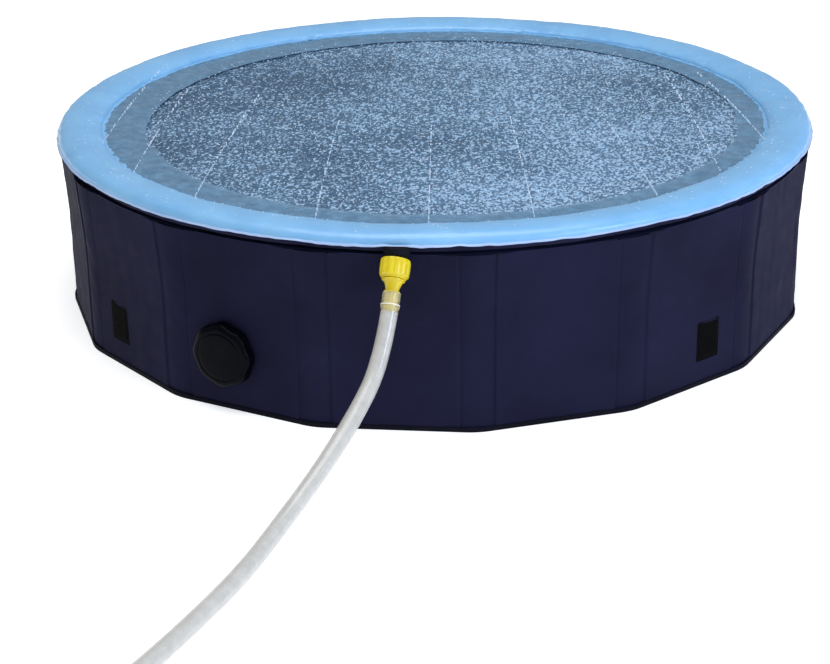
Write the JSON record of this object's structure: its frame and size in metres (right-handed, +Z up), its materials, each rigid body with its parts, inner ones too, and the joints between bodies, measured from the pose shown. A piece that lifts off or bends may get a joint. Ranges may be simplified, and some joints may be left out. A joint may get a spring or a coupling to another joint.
{
  "type": "pet bathtub",
  "caption": "Foldable round pet bathtub with board-stiffened navy walls, a sky-blue spray ring round the rim, a side drain with a screw cap, and a clear supply hose.",
  "frame": {"origin": "centre of the underside of the base sheet, on the ground", "axes": "+Z up; -Y towards the front panel, where the supply hose joins the spray ring; +X to the right seen from the front"},
  "size_m": [1.2378, 2.2885, 0.3039],
  "materials": {
    "wall_pvc": "dark navy PVC-coated cloth, soft sheen",
    "liner_pvc": "dark navy PVC sheet, smooth",
    "base_pvc": "near-black non-slip PVC",
    "fibreboard": "plain brown hardboard",
    "ring_vinyl": "sky-blue vinyl film, satin to glossy",
    "clear_film": "grey-teal see-through vinyl film",
    "drain_plastic": "black moulded plastic, satin",
    "seal_rubber": "black rubber",
    "hook_fabric": "black hook-and-loop tape",
    "coupling_plastic": "bright yellow moulded plastic",
    "spigot_plastic": "off-white moulded plastic",
    "clear_hose": "clear soft PVC tube"
  },
  "bodies": {
    "tub": {"base_sheet": "base_pvc", "base_welt": "base_pvc", "closure_hook_patch": "hook_fabric", "closure_loop_patch": "hook_fabric", "corner_hinge_strips": "liner_pvc", "drain_flange": "drain_plastic", "drain_gasket": "seal_rubber", "drain_lock_nut": "drain_plastic", "hose_coil": "clear_hose", "hose_run": "clear_hose", "hose_tail_run": "clear_hose", "inlet_boot": "seal_rubber", "inlet_sleeve": "clear_hose", "inlet_spigot": "spigot_plastic", "inlet_tail": "coupling_plastic", "inlet_washer": "seal_rubber", "liner_floor": "liner_pvc", "rim_collar": "liner_pvc", "ring_bottom_film": "wall_pvc", "ring_top_film": "ring_vinyl", "splash_apron": "clear_film", "tap_sleeve": "clear_hose", "tap_tail": "coupling_plastic", "tap_washer": "seal_rubber", "wall_board_01": "fibreboard", "wall_board_02": "fibreboard", "wall_board_03": "fibreboard", "wall_board_04": "fibreboard", "wall_board_05": "fibreboard", "wall_board_06": "fibreboard", "wall_board_07": "fibreboard", "wall_board_08": "fibreboard", "wall_board_09": "fibreboard", "wall_board_10": "fibreboard", "wall_board_11": "fibreboard", "wall_board_12": "fibreboard", "wall_board_13": "fibreboard", "wall_board_14": "fibreboard", "wall_board_15": "fibreboard", "wall_board_16": "fibreboard", "wall_liner": "liner_pvc", "wall_outer_skin": "wall_pvc"},
    "drain_cap_seal": {"drain_cap_seal": "seal_rubber"},
    "drain_cap": {"drain_cap": "drain_plastic"},
    "inlet_nut": {"inlet_nut": "coupling_plastic"},
    "tap_nut": {"tap_nut": "coupling_plastic"}
  },
  "joints": [
    {"name": "drain_cap_travel", "type": "slide", "parent": "tub", "child": "drain_cap_seal", "axis": [-0.3827, -0.9239, 0], "range_m": [0, 0.01201]},
    {"name": "drain_cap_turn", "type": "hinge", "parent": "drain_cap_seal", "child": "drain_cap", "pos_m": [-0.25496, -0.55021, 0.089], "axis": [-0.3827, -0.9239, 0], "range_deg": [0, 1080]},
    {"name": "inlet_nut_turn", "type": "hinge", "parent": "tub", "child": "inlet_nut", "pos_m": [0.00735, -0.61961, 0.25765], "axis": [-0.075, -0.5731, -0.8161], "continuous": true},
    {"name": "tap_nut_turn", "type": "hinge", "parent": "tub", "child": "tap_nut", "pos_m": [0.19879, -1.52804, 0.0212], "axis": [0.9374, 0.3482, 0], "continuous": true}
  ],
  "couplings": [
    {"joint": "drain_cap_travel", "follows": "drain_cap_turn", "m_per_rad": 0.00063662}
  ]
}
